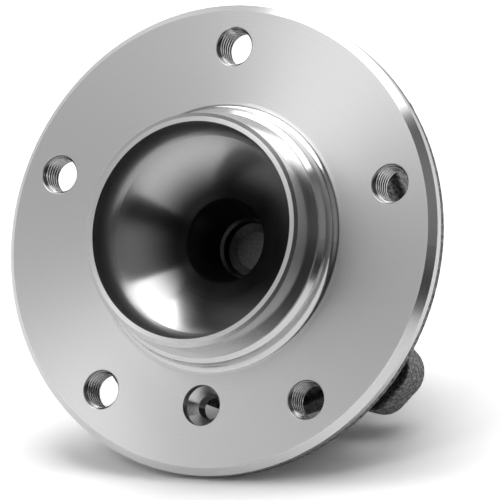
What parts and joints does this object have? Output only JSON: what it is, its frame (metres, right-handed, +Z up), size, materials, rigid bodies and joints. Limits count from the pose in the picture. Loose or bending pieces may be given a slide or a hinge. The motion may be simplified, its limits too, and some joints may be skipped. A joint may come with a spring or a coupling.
{
  "type": "wheel hub bearing",
  "caption": "Flanged wheel hub bearing unit: tapped wheel flange with stepped pilots and a bowl nose, turning in a lugged outer ring on two ball rows.",
  "frame": {"origin": "on the spin axis, in the plane of the wheel mounting face", "axes": "+Y along the spin axis from the wheel side to the knuckle side, +Z up through a wheel bolt hole, +X completes a right-handed frame"},
  "size_m": [0.1468, 0.0831, 0.1468],
  "materials": {
    "turned_steel": "fine turned, satin to bright",
    "forged_steel": "as forged, rough and dark",
    "bearing_steel": "ground and polished",
    "cage_polymer": "moulded, matt",
    "sheet_steel": "pressed sheet, satin",
    "seal_rubber": "moulded, matt black",
    "magnet_rubber": "smooth, brown black"
  },
  "bodies": {
    "outer": {"outer_ring": "forged_steel", "outboard_seal_case": "sheet_steel", "outboard_seal_lip": "seal_rubber", "inboard_seal_case": "sheet_steel", "inboard_seal_lip": "seal_rubber"},
    "hub": {"hub_spindle": "turned_steel", "inner_ring": "bearing_steel", "seal_slinger": "sheet_steel", "encoder_ring": "magnet_rubber"},
    "outboard_row": {"outboard_balls": "bearing_steel", "outboard_cage": "cage_polymer"},
    "inboard_row": {"inboard_balls": "bearing_steel", "inboard_cage": "cage_polymer"}
  },
  "joints": [
    {"name": "hub_spin", "type": "hinge", "parent": "outer", "child": "hub", "pos_m": [0, 0, 0], "axis": [0, 1, 0], "continuous": true},
    {"name": "outboard_row_spin", "type": "hinge", "parent": "outer", "child": "outboard_row", "pos_m": [0, 0.02675, 0], "axis": [0, 1, 0], "continuous": true},
    {"name": "inboard_row_spin", "type": "hinge", "parent": "outer", "child": "inboard_row", "pos_m": [0, 0.04875, 0], "axis": [0, 1, 0], "continuous": true}
  ],
  "couplings": [
    {"joint": "outboard_row_spin", "follows": "hub_spin", "ratio": 0.4187},
    {"joint": "inboard_row_spin", "follows": "hub_spin", "ratio": 0.4187}
  ]
}
